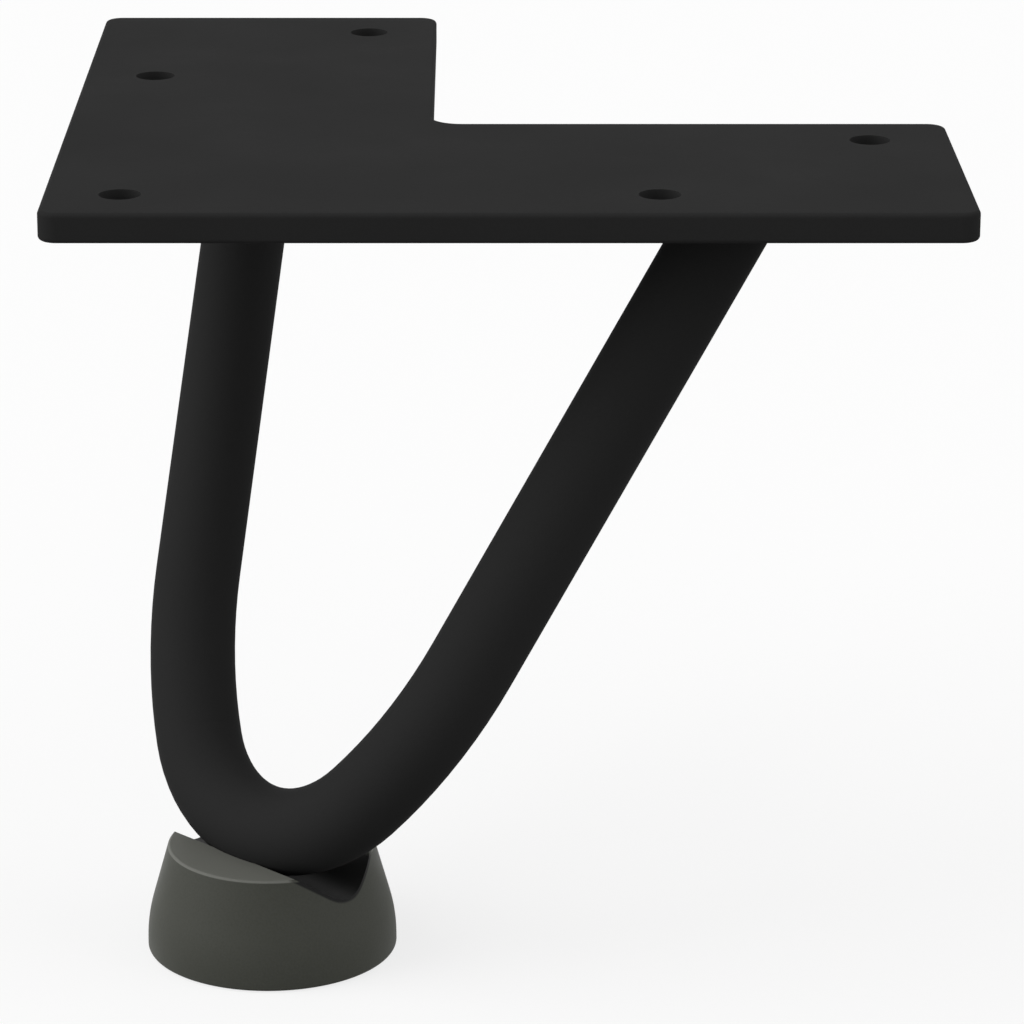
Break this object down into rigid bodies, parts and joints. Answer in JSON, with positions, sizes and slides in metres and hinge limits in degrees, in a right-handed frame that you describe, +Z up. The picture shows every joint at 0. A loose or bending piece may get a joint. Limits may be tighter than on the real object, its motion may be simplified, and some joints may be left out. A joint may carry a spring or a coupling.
{
  "type": "hairpin table leg",
  "caption": "Short hairpin table leg: a bent round steel rod welded under an L-shaped screw plate, with a flared rubber foot under the bend.",
  "frame": {"origin": "point on the plate's upper face straight above the middle of the foot", "axes": "+Z up, out of the plate's upper face towards the table top; +X along the plate's front arm; +Y along its side arm"},
  "size_m": [0.12, 0.12, 0.1118],
  "materials": {
    "powder_coat": "matte",
    "foot_rubber": "matte"
  },
  "bodies": {
    "root": {"mounting_plate": "powder_coat", "hairpin_rod": "powder_coat", "weld_front": "powder_coat", "weld_side": "powder_coat", "foot": "foot_rubber"}
  },
  "joints": []
}
